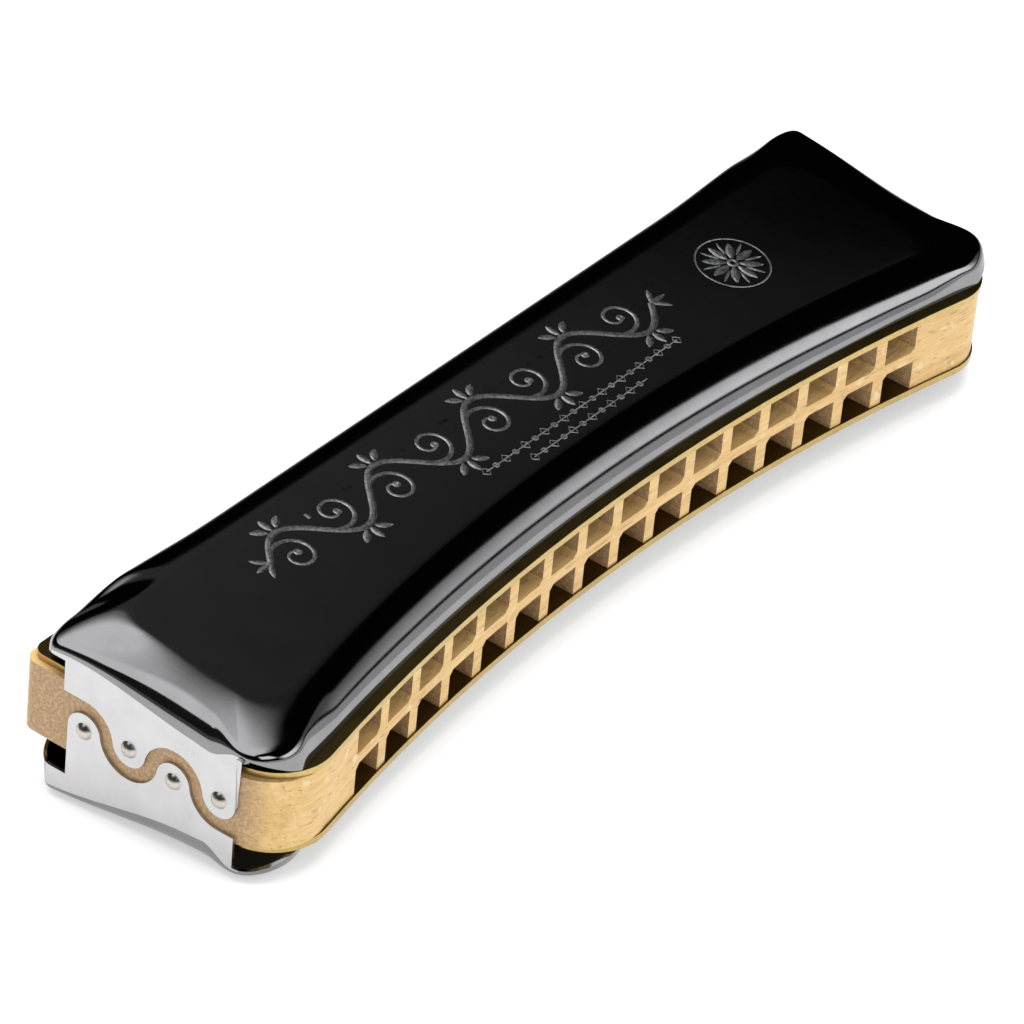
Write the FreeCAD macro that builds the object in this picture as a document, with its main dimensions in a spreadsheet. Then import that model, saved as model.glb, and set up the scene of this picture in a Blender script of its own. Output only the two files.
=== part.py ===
"""A curved octave harmonica with sixteen double holes and thirty-two reeds.

The model is drawn in the comb's own frame: X runs along the instrument with the low notes at -X, the
mouth faces -Y, Z is zero at the comb's mid-height, and Y is zero where the mouth arc crosses X = 0.
Every sub-part is then placed by the rest pose, which stands the instrument on its lower cover: the
cover's flat face lies on the plane Z = 0 of the part's own frame, with the origin at its middle.
"""
import FreeCAD, Part
import math
import os

import Sketcher

Vector = FreeCAD.Vector
Rotation = FreeCAD.Rotation
Placement = FreeCAD.Placement

# alias: (value in millimetres or degrees, what it is)
DIMENSIONS = {
    "comb_length": (129.4, "comb, end to end"),
    "comb_thickness": (8.72, "comb, reed plate to reed plate"),
    "mouth_radius": (290.0, "concave mouth face, radius in plan"),
    "back_reach": (28.1, "comb's back face, from the middle of the mouth"),
    "comb_front_corner": (6.5, "comb's front corners, radius"),
    "comb_back_corner": (1.6, "comb's back corners, radius"),
    "column_pitch": (6.35, "hole to hole along the comb"),
    "chamber_width": (4.7, "hole width"),
    "web_thickness": (1.36, "wood between an upper and a lower hole"),
    "chamber_chamfer": (0.6, "broken inner corner of each hole"),
    "head_room": (0.6, "chamber behind the riveted head of a blow reed"),
    "tip_room": (1.0, "chamber behind the slot of a draw reed"),
    "plate_thickness": (0.8, "brass reed plate"),
    "plate_overhang": (0.25, "reed plate in front of the comb's mouth face"),
    "plate_length": (128.6, "reed plate, end to end"),
    "plate_shift": (0.35, "reed plates sit this far towards the high notes"),
    "plate_back": (27.7, "reed plate's back edge"),
    "slot_setback": (6.0, "mouth arc to the front end of a reed slot"),
    "bass_slot": (17.0, "slot of the lowest reed, length"),
    "slot_step": (0.5, "each slot is this much shorter than the last"),
    "bass_reed": (2.6, "lowest reed, width"),
    "reed_step": (0.035, "each reed is this much narrower than the last"),
    "side_gap": (0.06, "reed to slot, each side"),
    "tip_gap": (0.25, "reed tip to the slot's end"),
    "root_gap": (0.04, "tongue to riveted head, at the bending line"),
    "reed_lift": (0.05, "tongue above its plate at rest"),
    "reed_thickness": (0.16, "reed tongue"),
    "head_length": (3.6, "riveted head of a reed"),
    "head_width": (3.4, "riveted head of a reed"),
    "head_thickness": (0.35, "riveted head of a reed"),
    "head_corner": (0.68, "riveted head of a reed, radius of its outer corners"),
    "rivet_radius": (0.55, "rivet shank"),
    "rivet_head_radius": (0.95, "rivet head, on the reed's side"),
    "rivet_head_height": (0.25, "rivet head"),
    "rivet_rim": (0.05, "upright rim of a rivet head, under its dome"),
    "rivet_tail_height": (0.12, "rivet's closed end, on the plate's other side"),
    "pin_radius": (0.4, "reed-plate pin shank"),
    "pin_head_radius": (0.8, "reed-plate pin head"),
    "pin_head_height": (0.3, "reed-plate pin head"),
    "pin_length": (3.2, "reed-plate pin below the plate, in the wood"),
    "pin_setback": (3.2, "front row of pins, behind the mouth arc"),
    "pin_back_row": (26.2, "back row of pins, from the mouth's middle"),
    "cover_half": (65.1, "outer face of a cover's end tab, from the middle"),
    "cover_setback": (1.1, "mouth arc to the cover's front wall"),
    "cover_back": (26.2, "foot of the cover's back wall, on the reed plate"),
    "cover_lean": (18.0, "the back wall leans forward by this angle, degrees"),
    "cover_rise": (8.78, "top of the cover above the comb's middle, at Y = 0"),
    "face_middle": (12.0, "middle of the lower cover's flat, behind the middle of the mouth"),
    "wedge_angle": (5.5, "each cover grows taller towards its back, degrees"),
    "cover_front_corner": (4.8, "cover's front corners, radius in plan"),
    "cover_back_corner": (2.6, "cover's back corners, radius in plan"),
    "cover_shoulder": (2.6, "cover's rounded shoulder, radius"),
    "sheet": (0.4, "cover sheet"),
    "vent_half": (55.5, "sound opening at the back, half its length"),
    "vent_height": (5.1, "sound opening, above the reed plate"),
    "vent_reach": (6.0, "sound opening is cut from this far in front of the back wall's foot"),
    "relief_height": (2.0, "corner of a cover beside its tab, above the plate"),
    "relief_reach": (5.2, "how far along the instrument that corner is relieved"),
    "tab_middle": (10.4, "middle of the row of cover nails, from the mouth's middle"),
    "tab_front": (-0.7, "front edge of an end tab"),
    "tab_back": (22.2, "back edge of an end tab"),
    "lobe_pitch": (5.95, "nail to nail along an end, upper and lower in turn"),
    "lobe_radius": (2.15, "rounded lobe of a tab, about its nail"),
    "lobe_offset": (0.45, "nail from the comb's mid-height"),
    "nail_radius": (0.55, "cover nail shank"),
    "nail_head_radius": (1.0, "cover nail head"),
    "nail_head_height": (0.6, "cover nail dome"),
    "nail_length": (7.0, "cover nail, in the wood"),
}
COLUMNS = 16
FRONT_PIN_DIVIDERS = (-7, -4, -1, 1, 4, 7)
BACK_PIN_POSITIONS = (-51.0, -34.0, -17.0, 0.0, 17.0, 34.0, 51.0)
CLEAR = 15.0  # a cutting outline reaches this far past the solid it cuts
STEEP = 0.8  # least upward share of an upright edge's direction
TOUCHING = 1e-4

doc = FreeCAD.newDocument("harmonica")
sheet = doc.addObject("Spreadsheet::Sheet", "dims")
for row, (alias, (value, note)) in enumerate(DIMENSIONS.items(), start=1):
    sheet.set("A%d" % row, note)
    sheet.set("B%d" % row, str(value))
    sheet.setAlias("B%d" % row, alias)
doc.recompute()


def dim(alias):
    """A driving dimension, as the sheet holds it."""
    return float(sheet.get(alias))


HALF_COMB = dim("comb_thickness") / 2
PLATE_TOP = HALF_COMB + dim("plate_thickness")
WEDGE = math.radians(dim("wedge_angle"))
REST_POSE = Placement(Vector(0, -dim("face_middle"), dim("cover_rise") * math.cos(WEDGE)),
                      Rotation(Vector(1, 0, 0), dim("wedge_angle")))
TURNED_OVER = Placement(Vector(0, 0, 0), Rotation(Vector(0, 1, 0), 180))
subparts = []


def finished(thing, label, placement=REST_POSE):
    """Name a sub-part, put it in the rest pose and keep it for export."""
    thing.Label = label
    thing.Placement = placement
    subparts.append(thing)
    return thing


# ---------------------------------------------------------------- the row of columns


def column_x(column):
    """Middle of a column of holes; columns are numbered from 1 at the low end."""
    return (column - (COLUMNS + 1) / 2) * dim("column_pitch")


def mouth_y(x):
    """The mouth arc: its middle is at Y = 0, and its ends come forward."""
    return math.sqrt(dim("mouth_radius") ** 2 - x ** 2) - dim("mouth_radius")


def is_blow(column):
    """Odd columns hold blow reeds, inside the chambers; even ones hold draw reeds, outside."""
    return column % 2 == 1


def slot_length(column):
    return dim("bass_slot") - (column - 1) * dim("slot_step")


def reed_width(column):
    return dim("bass_reed") - (column - 1) * dim("reed_step")


def slot_front(column):
    return mouth_y(column_x(column)) + dim("slot_setback")


def slot_back(column):
    return slot_front(column) + slot_length(column)


def rivet_y(column):
    """A blow reed is riveted behind its slot, and a draw reed in front of it."""
    half_head = dim("head_length") / 2
    if is_blow(column):
        return slot_back(column) + half_head
    return slot_front(column) - half_head


# ---------------------------------------------------------------- PartDesign helpers


def origin_plane(body, role):
    return next(f for f in body.Origin.OriginFeatures if f.Role == role)


def new_body(name):
    return doc.addObject("PartDesign::Body", name)


def new_sketch(body, name, role, offset=None):
    """A sketch on one of its own body's origin planes, moved along the plane's normal if asked."""
    sketch = body.newObject("Sketcher::SketchObject", name)
    sketch.AttachmentSupport = (origin_plane(body, role), [""])
    sketch.MapMode = "FlatFace"
    if offset:
        sketch.setExpression("AttachmentOffset.Base.z", offset)
    return sketch


def outline(sketch, left, right, front, back):
    """A plan outline: straight ends and back, and a front arc about the mouth arc's centre.

    left, right and back are distances from the origin, and front is how far the arc lies behind the
    mouth arc; all four are expressions on the sheet.
    """
    radius = dim("mouth_radius")
    half, depth = dim("comb_length") / 2, dim("back_reach")
    centre = Vector(0, -radius, 0)
    reach = math.asin(half / radius)
    corner = Vector(half, radius * math.cos(reach) - radius, 0)
    opposite = Vector(-half, corner.y, 0)
    sketch.addGeometry(Part.LineSegment(Vector(half, depth, 0), Vector(-half, depth, 0)))
    sketch.addGeometry(Part.LineSegment(Vector(-half, depth, 0), opposite))
    circle = Part.Circle(centre, Vector(0, 0, 1), radius)
    quarter = math.pi / 2
    sketch.addGeometry(Part.ArcOfCircle(circle, quarter - reach, quarter + reach))
    sketch.addGeometry(Part.LineSegment(corner, Vector(half, depth, 0)))
    joints = ((0, 2, 1, 1), (1, 2, 2, 2), (2, 1, 3, 1), (3, 2, 0, 1))
    for first, first_end, second, second_end in joints:
        sketch.addConstraint(Sketcher.Constraint("Coincident", first, first_end, second, second_end))
    sketch.addConstraint(Sketcher.Constraint("Horizontal", 0))
    sketch.addConstraint(Sketcher.Constraint("Vertical", 1))
    sketch.addConstraint(Sketcher.Constraint("Vertical", 3))
    sketch.addConstraint(Sketcher.Constraint("PointOnObject", 2, 3, -2))
    sizes = (
        ("centre", Sketcher.Constraint("DistanceY", 2, 3, -1, 1, radius), "dims.mouth_radius"),
        ("arc", Sketcher.Constraint("Radius", 2, radius), "dims.mouth_radius + " + front),
        ("back", Sketcher.Constraint("DistanceY", -1, 1, 0, 1, depth), back),
        ("right", Sketcher.Constraint("DistanceX", -1, 1, 0, 1, half), right),
        ("left", Sketcher.Constraint("DistanceX", 0, 2, -1, 1, half), left),
    )
    for name, constraint, expression in sizes:
        index = sketch.addConstraint(constraint)
        sketch.renameConstraint(index, name)
        sketch.setExpression("Constraints." + name, expression)


def polygon(sketch, points):
    """A closed outline through sketch points."""
    corners = [Vector(u, v, 0) for u, v in points]
    first = sketch.GeometryCount
    for start, end in zip(corners, corners[1:] + corners[:1]):
        sketch.addGeometry(Part.LineSegment(start, end))
    count = len(corners)
    for side in range(count):
        following = first + (side + 1) % count
        sketch.addConstraint(Sketcher.Constraint("Coincident", first + side, 2, following, 1))


def pad(body, sketch, length, midplane=False, reverse=False):
    feature = body.newObject("PartDesign::Pad", sketch.Name + "_pad")
    feature.Profile = sketch
    feature.setExpression("Length", length)
    feature.Midplane = midplane
    feature.Reversed = reverse
    doc.recompute()
    return feature


def pocket(body, sketch, length, midplane=False, reverse=False):
    """A pocket, with a check that it removes material."""
    before = body.Shape.Volume
    feature = body.newObject("PartDesign::Pocket", sketch.Name + "_pocket")
    feature.Profile = sketch
    feature.setExpression("Length", length)
    feature.Midplane = midplane
    feature.Reversed = reverse
    doc.recompute()
    if body.Shape.Volume >= before:
        raise RuntimeError(sketch.Name + " removes nothing")
    return feature


def dressed(body, kind, name, edges_of, keep, radius):
    """A PartDesign fillet or chamfer on the edges that keep(edge) picks."""
    names = ["Edge%d" % (i + 1) for i, edge in enumerate(edges_of.Shape.Edges) if keep(edge)]
    feature = body.newObject("PartDesign::" + kind, name)
    feature.Base = (edges_of, names)
    feature.setExpression("Radius" if kind == "Fillet" else "Size", radius)
    doc.recompute()
    return feature


def is_upright(edge):
    """A straight edge that rises more than it runs."""
    if edge.Curve.TypeId != "Part::GeomLine":
        return False
    return abs(edge.Curve.Direction.z) > STEEP


def round_corners(body, base, front_radius, back_radius):
    """Round the four upright corners of an outline, first the two at the back."""
    middle = dim("back_reach") / 2
    back = dressed(body, "Fillet", body.Name + "_back_corners", base,
                   lambda e: is_upright(e) and e.CenterOfMass.y > middle, back_radius)
    return dressed(body, "Fillet", body.Name + "_front_corners", back,
                   lambda e: is_upright(e) and e.CenterOfMass.y < 0, front_radius)


def holes(body, name, role, offset, points, radius, depth, **direction):
    """Round holes through a face, as one pocket."""
    sketch = new_sketch(body, name, role, offset)
    for u, v in points:
        index = sketch.addGeometry(Part.Circle(Vector(u, v, 0), Vector(0, 0, 1), dim(radius)))
        sketch.addConstraint(Sketcher.Constraint("Block", index))
    doc.recompute()
    return pocket(body, sketch, depth, **direction)


# ---------------------------------------------------------------- fasteners


def pin_points():
    """Where the reed-plate pins stand: a row between the chambers and a row along the back."""
    front = [(n * dim("column_pitch"), dim("pin_setback") + mouth_y(n * dim("column_pitch")))
             for n in FRONT_PIN_DIVIDERS]
    back = [(x, dim("pin_back_row")) for x in BACK_PIN_POSITIONS]
    return front + back


def nail_places(end, level):
    """Y of a cover's two nails. level is 1 for the upper cover, end is -1 at the low notes."""
    first = -3 if end * level < 0 else -1
    return [dim("tab_middle") + step * dim("lobe_pitch") / 2 for step in (first, first + 4)]


def turned_solid(points):
    """A solid turned about Z from a half profile, whose last span is domed up to the axis."""
    corners = [Vector(r, 0, z) for r, z in points]
    rim, crown = corners[-2], corners[-1]
    height = crown.z - rim.z
    radius = (rim.x ** 2 + height ** 2) / (2 * height)
    lean = math.asin(rim.x / radius) / 2
    shoulder = Vector(radius * math.sin(lean), 0, crown.z - radius * (1 - math.cos(lean)))
    edges = [Part.LineSegment(a, b).toShape() for a, b in zip(corners[:-2], corners[1:-1])]
    edges.append(Part.Arc(rim, shoulder, crown).toShape())
    edges.append(Part.LineSegment(crown, corners[0]).toShape())
    face = Part.Face(Part.Wire(edges))
    return face.revolve(Vector(0, 0, 0), Vector(0, 0, 1), 360)


def group(name, solids, label):
    """Identical small pieces in one node, each a separate solid."""
    feature = doc.addObject("Part::Feature", name)
    feature.Shape = Part.makeCompound(solids)
    return finished(feature, label)


def cover_nail():
    """A domed nail: its head's underside is at Z = 0 and its shank goes down."""
    shank, head = dim("nail_radius"), dim("nail_head_radius")
    tip = -dim("nail_length") - dim("sheet")
    profile = ((0, tip), (shank, tip + 2 * shank), (shank, 0), (head, 0), (0, dim("nail_head_height")))
    return turned_solid(profile)


def plate_pin():
    """A small flat-headed pin: its head's underside is at Z = 0."""
    shank, head = dim("pin_radius"), dim("pin_head_radius")
    tip = -dim("pin_length") - dim("plate_thickness")
    top = dim("pin_head_height")
    profile = ((0, tip), (shank, tip + 2 * shank), (shank, 0), (head, 0), (head, top / 2), (0, top))
    return turned_solid(profile)


def reed_rivet():
    """A rivet through a reed head and its plate: the plate's reed side is at Z = 0."""
    shank, head = dim("rivet_radius"), dim("rivet_head_radius")
    under, tail = dim("head_thickness"), -dim("plate_thickness")
    top, end = under + dim("rivet_head_height"), tail - dim("rivet_tail_height")
    wide_tail = (shank + head) / 2
    profile = ((0, end), (wide_tail, end), (wide_tail, tail), (shank, tail),
               (shank, under), (head, under), (head, under + dim("rivet_rim")), (0, top))
    return turned_solid(profile)


def moved(solid, placement):
    copy = solid.copy()
    copy.Placement = placement
    return copy


# ---------------------------------------------------------------- comb


def make_comb():
    """The wooden comb: one block with 32 saw-cut chambers, open at the mouth and to the plates."""
    body = new_body("comb")
    half = "dims.comb_length / 2"
    sketch = new_sketch(body, "comb_outline", "XY_Plane")
    outline(sketch, half, half, "0", "dims.back_reach")
    block = pad(body, sketch, "dims.comb_thickness", midplane=True)
    round_corners(body, block, "dims.comb_front_corner", "dims.comb_back_corner")
    for level, side in ((1, "upper"), (-1, "lower")):
        cut_chambers(body, level, side)
    points = pin_points()
    holes(body, "comb_upper_pins", "XY_Plane", "dims.comb_thickness / 2", points, "pin_radius",
          "dims.pin_length")
    holes(body, "comb_lower_pins", "XY_Plane", "-dims.comb_thickness / 2", points, "pin_radius",
          "dims.pin_length", reverse=True)
    for end, where in ((-1, "low"), (1, "high")):
        nails = [(y, level * dim("lobe_offset")) for level in (1, -1) for y in nail_places(end, level)]
        holes(body, "comb_%s_nails" % where, "YZ_Plane", "%d * dims.comb_length / 2" % end, nails,
              "nail_radius", "dims.nail_length", reverse=(end < 0))
    finished(body, "comb")


def cut_chambers(body, level, side):
    """One row of chambers, cut as deep as each column's reed needs."""
    web, top = dim("web_thickness") / 2, HALF_COMB + CLEAR
    half, chamfer = dim("chamber_width") / 2, dim("chamber_chamfer")
    for column in range(1, COLUMNS + 1):
        x = column_x(column)
        sketch = new_sketch(body, "%s_chamber_%02d" % (side, column), "XZ_Plane", str(CLEAR))
        polygon(sketch, chamber_section(x, half, level, web, top, chamfer))
        room = dim("head_length") + dim("head_room") if is_blow(column) else dim("tip_room")
        pocket(body, sketch, str(CLEAR + slot_back(column) + room))


def chamber_section(x, half, level, web, top, chamfer):
    """A hole seen from the mouth, with one inner corner broken: right above, left below."""
    broken = 1 if level > 0 else -1
    return [(x - broken * half, level * top), (x + broken * half, level * top),
            (x + broken * half, level * (web + chamfer)), (x + broken * (half - chamfer), level * web),
            (x - broken * half, level * web)]


# ---------------------------------------------------------------- reed plates


def make_plate(level, side):
    """A brass reed plate: one slot, one rivet hole for each reed, and the pin holes."""
    body = new_body(side + "_reed_plate")
    lower_face = "dims.comb_thickness / 2" if level > 0 else "-dims.comb_thickness / 2"
    sketch = new_sketch(body, side + "_plate_outline", "XY_Plane", lower_face)
    outline(sketch, "dims.plate_length / 2 - dims.plate_shift",
            "dims.plate_length / 2 + dims.plate_shift", "-dims.plate_overhang", "dims.plate_back")
    blank = pad(body, sketch, "dims.plate_thickness", reverse=(level < 0))
    round_corners(body, blank, "dims.comb_front_corner", "dims.comb_back_corner")
    slots = new_sketch(body, side + "_plate_slots", "XY_Plane", lower_face)
    for column in range(1, COLUMNS + 1):
        x, half = column_x(column), reed_width(column) / 2 + dim("side_gap")
        front, back = slot_front(column), slot_back(column)
        polygon(slots, [(x - half, front), (x + half, front), (x + half, back), (x - half, back)])
    doc.recompute()
    pocket(body, slots, "dims.plate_thickness", reverse=(level > 0))
    rivets = [(column_x(c), rivet_y(c)) for c in range(1, COLUMNS + 1)]
    holes(body, side + "_plate_rivet_holes", "XY_Plane", lower_face, rivets, "rivet_radius",
          "dims.plate_thickness", reverse=(level > 0))
    holes(body, side + "_plate_pin_holes", "XY_Plane", lower_face, pin_points(), "pin_radius",
          "dims.plate_thickness", reverse=(level > 0))
    finished(body, side + "_reed_plate")


# ---------------------------------------------------------------- reeds


def reed_face(column, level):
    """Z of the plate face that a reed is riveted to, and +1 or -1 for the way it stands off."""
    if is_blow(column):
        return level * HALF_COMB, -level
    return level * PLATE_TOP, level


def make_tongue(column, level, side):
    """The free part of a reed: a thin brass strip over its slot, which bends at its root."""
    name = "reed_%s_%02d" % (side, column)
    strip = doc.addObject("Part::Box", name)
    face, away = reed_face(column, level)
    strip.setExpression("Length", "dims.bass_reed - %d * dims.reed_step" % (column - 1))
    strip.setExpression("Width", "dims.bass_slot - %d * dims.slot_step - dims.tip_gap - dims.root_gap"
                        % (column - 1))
    strip.setExpression("Height", "dims.reed_thickness")
    near = face + away * dim("reed_lift")
    low = min(near, near + away * dim("reed_thickness"))
    start = slot_front(column) + (dim("tip_gap") if is_blow(column) else dim("root_gap"))
    corner = Placement(Vector(column_x(column) - reed_width(column) / 2, start, low), Rotation())
    finished(strip, name, REST_POSE.multiply(corner))


def reed_head(column, level):
    """The riveted head of a reed, with its rivet hole."""
    face, away = reed_face(column, level)
    width, length, thick = dim("head_width"), dim("head_length"), dim("head_thickness")
    x, y = column_x(column), rivet_y(column)
    low = min(face, face + away * thick)
    plate = Part.makeBox(width, length, thick, Vector(x - width / 2, y - length / 2, low))
    upright = [edge for edge in plate.Edges if is_upright(edge)]
    far = 1 if is_blow(column) else -1
    plate = plate.makeFillet(dim("head_corner"), [e for e in upright if (e.CenterOfMass.y - y) * far > 0])
    hole = Part.makeCylinder(dim("rivet_radius"), 3 * thick, Vector(x, y, low - thick))
    return plate.cut(hole)


def make_reeds(level, side):
    """All the reeds of one plate, with their heads and rivets."""
    for column in range(1, COLUMNS + 1):
        make_tongue(column, level, side)
    rows = (("blow", 1), ("draw", 2))
    for kind, first in rows:
        name = "%s_%s_reed_heads" % (side, kind)
        group(name, [reed_head(c, level) for c in range(first, COLUMNS + 1, 2)], name)
    rivet = reed_rivet()
    rivets = []
    for column in range(1, COLUMNS + 1):
        face, away = reed_face(column, level)
        turn = Rotation(Vector(1, 0, 0), 0 if away > 0 else 180)
        rivets.append(moved(rivet, Placement(Vector(column_x(column), rivet_y(column), face), turn)))
    group(side + "_rivets", rivets, side + "_reed_rivets")


def make_pins(level, side):
    """The pins that hold one reed plate on the comb."""
    pin = plate_pin()
    turn = Rotation(Vector(1, 0, 0), 0 if level > 0 else 180)
    pins = [moved(pin, Placement(Vector(x, y, level * PLATE_TOP), turn)) for x, y in pin_points()]
    group(side + "_pins", pins, side + "_reed_plate_pins")


# ---------------------------------------------------------------- covers


def tab_rounds(end):
    """The rounds of an end tab's wavy edge, front to back: Y, Z and radius of each.

    A lobe is a round about one of its own nails, and a bay is a round about the other cover's nail,
    so the two wavy edges keep an even strip of wood between them.
    """
    lobe, drop = dim("lobe_radius"), dim("lobe_offset")
    bay = math.hypot(dim("lobe_pitch"), 2 * drop) - lobe
    lobes = [(y, drop, lobe) for y in nail_places(end, 1)]
    bays = [(y, -drop, bay) for y in nail_places(end, -1)]
    return sorted(lobes + bays)


def meeting(first, second):
    """The point where two neighbouring rounds touch."""
    share = first[2] / (first[2] + second[2])
    return Vector(first[0] + (second[0] - first[0]) * share,
                  first[1] + (second[1] - first[1]) * share, 0)


def round_arc(item, start, finish):
    """The shorter arc of a round between two of its points."""
    centre = Vector(item[0], item[1], 0)
    middle = (start + finish) * 0.5 - centre
    return Part.Arc(start, centre + middle.normalize() * item[2], finish)


def wave_end(item, way):
    """Where the wavy edge ends: beside the middle of a lobe, or at the top of a bay."""
    y, z, radius = item
    if z > 0:
        return Vector(y + way * radius, z, 0)
    return Vector(y, z + radius, 0)


def tab_side(item, way):
    """Y of a tab's straight side: that of its last lobe, or the tab's own corner beside a bay."""
    y, z, radius = item
    if z > 0:
        return y + way * radius
    return dim("tab_back" if way > 0 else "tab_front")


def tab_curves(end):
    """An end tab on the YZ plane: straight sides, and a wavy lower edge of rounds that touch."""
    top = PLATE_TOP + dim("relief_height") + dim("sheet")
    rounds = tab_rounds(end)
    inner = [meeting(a, b) for a, b in zip(rounds, rounds[1:])]
    first, last = wave_end(rounds[0], -1), wave_end(rounds[-1], 1)
    knots = [first] + inner + [last]
    curves = [round_arc(item, a, b) for item, a, b in zip(rounds, knots, knots[1:])]
    front, back = tab_side(rounds[0], -1), tab_side(rounds[-1], 1)
    corners = [last, Vector(back, last.y, 0), Vector(back, top, 0), Vector(front, top, 0),
               Vector(front, first.y, 0), first]
    straight = [(a, b) for a, b in zip(corners, corners[1:]) if not a.isEqual(b, TOUCHING)]
    return curves + [Part.LineSegment(a, b) for a, b in straight]


def make_tab(body, end):
    """One end tab of the upper cover, padded by the sheet's thickness on the end's inner side."""
    where = "low" if end < 0 else "high"
    face = "%d * dims.cover_half" % end
    sketch = new_sketch(body, "%s_%s_tab" % (body.Name, where), "YZ_Plane", face)
    for curve in tab_curves(end):
        index = sketch.addGeometry(curve)
        sketch.addConstraint(Sketcher.Constraint("Block", index))
    doc.recompute()
    pad(body, sketch, "dims.sheet", reverse=(end > 0))
    nails = [(y, dim("lobe_offset")) for y in nail_places(end, 1)]
    holes(body, "%s_%s_nail_holes" % (body.Name, where), "YZ_Plane", face, nails, "nail_radius",
          "dims.sheet", reverse=(end < 0))


def make_cover(name, placement):
    """A sheet cover, drawn as the upper one: a wedge-shaped shell, open below and at its back."""
    body = new_body(name)
    base = PLATE_TOP
    sketch = new_sketch(body, name + "_outline", "XY_Plane",
                        "dims.comb_thickness / 2 + dims.plate_thickness")
    outline(sketch, "dims.cover_half", "dims.cover_half", "dims.cover_setback", "dims.cover_back")
    block = pad(body, sketch, "2 * dims.cover_rise")
    slope = new_sketch(body, name + "_wedge", "YZ_Plane")
    rise = dim("cover_rise")
    near, far, high = -CLEAR, dim("back_reach") + CLEAR, rise + CLEAR
    polygon(slope, [(near, rise + near * math.tan(WEDGE)), (far, rise + far * math.tan(WEDGE)),
                    (far, high), (near, high)])
    pocket(body, slope, "2 * dims.comb_length", midplane=True)
    back = new_sketch(body, name + "_back", "YZ_Plane")
    foot, lean = dim("cover_back"), math.tan(math.radians(dim("cover_lean")))
    polygon(back, [(foot + CLEAR * lean, base - CLEAR), (far, base - CLEAR), (far, high),
                   (foot - (high - base) * lean, high)])
    leaning = pocket(body, back, "2 * dims.comb_length", midplane=True)
    corners = round_corners(body, leaning, "dims.cover_front_corner", "dims.cover_back_corner")
    shoulder = dressed(body, "Fillet", name + "_shoulder", corners,
                       lambda e: min(v.Point.z for v in e.Vertexes) > base + dim("sheet"),
                       "dims.cover_shoulder")
    shell = body.newObject("PartDesign::Thickness", name + "_shell")
    open_face = ["Face%d" % (i + 1) for i, face in enumerate(shoulder.Shape.Faces)
                 if abs(face.CenterOfMass.z - base) < TOUCHING]
    shell.Base = (shoulder, open_face)
    shell.setExpression("Value", "dims.sheet")
    shell.Reversed = True
    doc.recompute()
    cut_vent(body, name)
    cut_corners(body, name)
    for end in (-1, 1):
        make_tab(body, end)
    finished(body, name, placement)


def cut_vent(body, name):
    """The sound opening along the back, under the rolled lip of the cover."""
    vent = new_sketch(body, name + "_vent", "XZ_Plane", "dims.vent_reach - dims.cover_back")
    half, low, top = dim("vent_half"), PLATE_TOP - CLEAR, PLATE_TOP + dim("vent_height")
    polygon(vent, [(-half, low), (half, low), (half, top), (-half, top)])
    pocket(body, vent, "2 * dims.vent_reach")


def cut_corners(body, name):
    """The sheet's lower edge climbs away from the reed plate at each corner, up to the end tab."""
    out, reach = dim("cover_half") + CLEAR, dim("relief_reach")
    inner, climb = dim("cover_half") - reach, dim("relief_height") / reach
    places = (("front", "-(dims.tab_front)", True), ("rear", "-(dims.tab_back)", False))
    for where, offset, forward in places:
        relief = new_sketch(body, "%s_%s_relief" % (name, where), "XZ_Plane", offset)
        for end in (-1, 1):
            points = [(end * inner, PLATE_TOP), (end * out, PLATE_TOP + climb * (out - inner)),
                      (end * out, PLATE_TOP - CLEAR), (end * inner, PLATE_TOP - CLEAR)]
            polygon(relief, points)
        pocket(body, relief, "dims.back_reach", reverse=forward)


def make_cover_nails(level, side):
    """The four domed nails of one cover, two through each end tab."""
    nail = cover_nail()
    nails = []
    for end in (-1, 1):
        outward = Rotation(Vector(0, 0, 1), Vector(end, 0, 0))
        for y in nail_places(end, level):
            place = Vector(end * dim("cover_half"), y, level * dim("lobe_offset"))
            nails.append(moved(nail, Placement(place, outward)))
    group(side + "_nails", nails, side + "_cover_nails")


# ---------------------------------------------------------------- assembly


def check_document():
    """Stop if any object failed, or if a sub-part is empty or not a valid solid."""
    for item in doc.Objects:
        bad = [state for state in item.State if state in ("Invalid", "Error")]
        if bad:
            raise RuntimeError("%s is %s" % (item.Name, bad))
    for item in subparts:
        shape = item.Shape
        if shape.isNull() or not shape.isValid() or not shape.Solids:
            raise RuntimeError(item.Label + " is not a valid solid")


make_comb()
for level, side in ((1, "top"), (-1, "bottom")):
    make_plate(level, side)
    make_reeds(level, side)
    make_pins(level, side)
    make_cover_nails(level, side)
make_cover("top_cover", REST_POSE)
make_cover("bottom_cover", REST_POSE.multiply(TURNED_OVER))
doc.recompute()
check_document()
os.makedirs("parts", exist_ok=True)
for item in subparts:
    item.Shape.exportStep("parts/%s.step" % item.Label)
    print("%-26s %9.2f mm3  %d solid(s)" % (item.Label, item.Shape.Volume, len(item.Shape.Solids)))
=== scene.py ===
import math

import bpy
import numpy as np
from mathutils import Matrix, Vector


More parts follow.
